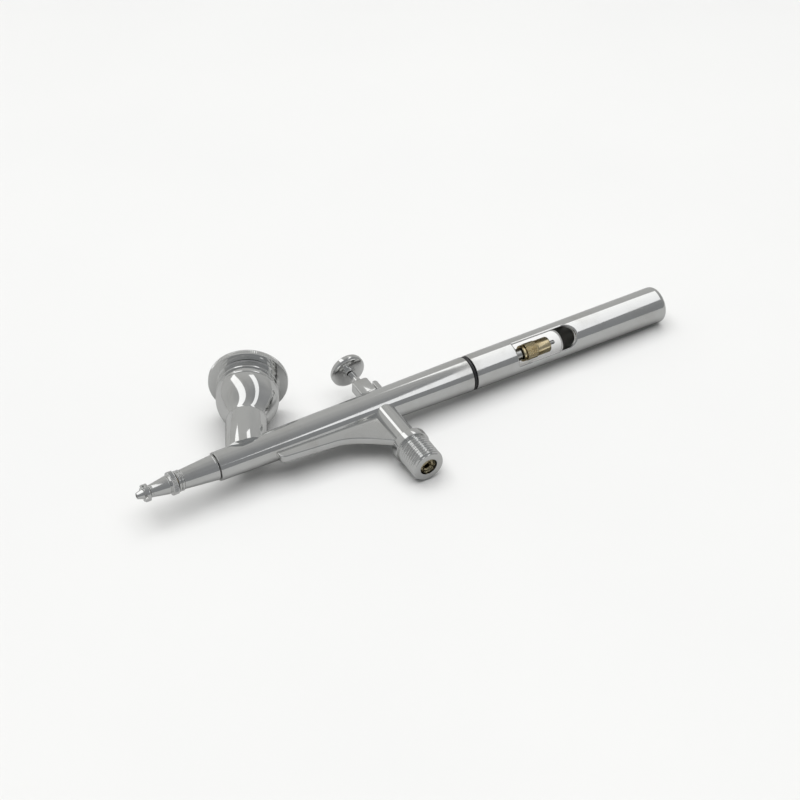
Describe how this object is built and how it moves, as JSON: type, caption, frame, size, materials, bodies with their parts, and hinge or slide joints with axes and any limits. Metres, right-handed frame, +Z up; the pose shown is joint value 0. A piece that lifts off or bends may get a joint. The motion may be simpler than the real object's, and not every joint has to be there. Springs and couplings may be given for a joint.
{
  "type": "airbrush gun",
  "caption": "Gravity-feed double-action airbrush with leaning lidded paint cup, press-and-pull trigger, air valve under the barrel and a cut-away handle over a brass chuck nut.",
  "frame": {"origin": "centre of the bounding box's base, on the table that the airbrush lies on", "axes": "+X along the barrel toward the handle, +Z up from the table, the paint cup and trigger stand toward +Y and the air valve toward -Y"},
  "size_m": [0.1722, 0.0614, 0.0231],
  "materials": {
    "chrome": "mirror plated",
    "steel": "bright turned",
    "brass": "turned",
    "spring_steel": "drawn wire",
    "black_rubber": "smooth",
    "white_packing": "smooth"
  },
  "bodies": {
    "body": {"main_body": "chrome", "head_sleeve": "chrome", "head_seal": "white_packing", "fluid_nozzle": "brass", "paint_cup": "chrome", "finger_rest": "chrome", "valve_body": "chrome", "valve_guide": "brass", "needle_packing": "white_packing", "packing_screw": "brass", "spring_case": "steel", "joint_ring": "black_rubber", "needle_spring": "spring_steel", "valve_spring": "spring_steel"},
    "air_cap": {"nozzle_cap": "chrome"},
    "needle_guard": {"crown_cap": "chrome"},
    "lid": {"cup_lid": "chrome"},
    "plunger": {"valve_plunger": "brass", "plunger_seal": "black_rubber"},
    "trigger": {"trigger_lever": "chrome", "trigger_pad": "chrome"},
    "needle_carrier": {"needle_tube": "steel", "needle": "steel", "lever_pin": "steel"},
    "lever": {"auxiliary_lever": "chrome"},
    "nut": {"chuck_nut": "brass"},
    "rear_handle": {"handle": "chrome"}
  },
  "joints": [
    {"name": "trigger_press", "type": "slide", "parent": "body", "child": "plunger", "axis": [-0.0027, -0.994, -0.109], "range_m": [0, 0.002], "stiffness_N_per_m": 400, "springref_m": -0.0015, "deforming": ["valve_spring"]},
    {"name": "trigger_pull", "type": "hinge", "parent": "plunger", "child": "trigger", "pos_m": [-0.01179, -0.00519, 0.00766], "axis": [-0.0246, 0.109, -0.9937], "range_deg": [0, 17]},
    {"name": "needle_pull", "type": "slide", "parent": "body", "child": "needle_carrier", "axis": [0.9997, 0, -0.0247], "range_m": [0, 0.0034], "stiffness_N_per_m": 300, "springref_m": -0.002, "deforming": ["needle_spring"]},
    {"name": "lever_swing", "type": "hinge", "parent": "needle_carrier", "child": "lever", "pos_m": [-0.00774, -0.00429, 0.00765], "axis": [-0.0246, 0.109, -0.9937], "range_deg": [0, 5]},
    {"name": "lid_lift", "type": "slide", "parent": "body", "child": "lid", "axis": [0.4717, 0.8777, 0.0846], "range_m": [0, 0.02]},
    {"name": "nut_turn", "type": "hinge", "parent": "needle_carrier", "child": "nut", "pos_m": [0.0365, -0.0024, 0.00677], "axis": [0.9997, 0, -0.0247], "continuous": true},
    {"name": "handle_turn", "type": "hinge", "parent": "body", "child": "rear_handle", "pos_m": [0.0187, -0.0024, 0.00721], "axis": [0.9997, 0, -0.0247], "continuous": true},
    {"name": "air_cap_turn", "type": "hinge", "parent": "body", "child": "air_cap", "pos_m": [-0.08236, -0.0024, 0.00971], "axis": [0.9997, 0, -0.0247], "continuous": true},
    {"name": "needle_guard_turn", "type": "hinge", "parent": "air_cap", "child": "needle_guard", "pos_m": [-0.08606, -0.0024, 0.0098], "axis": [0.9997, 0, -0.0247], "continuous": true}
  ],
  "couplings": [
    {"joint": "trigger_pull", "follows": "needle_pull", "rad_per_m": 87.179},
    {"joint": "lever_swing", "follows": "needle_pull", "rad_per_m": 25.641}
  ]
}
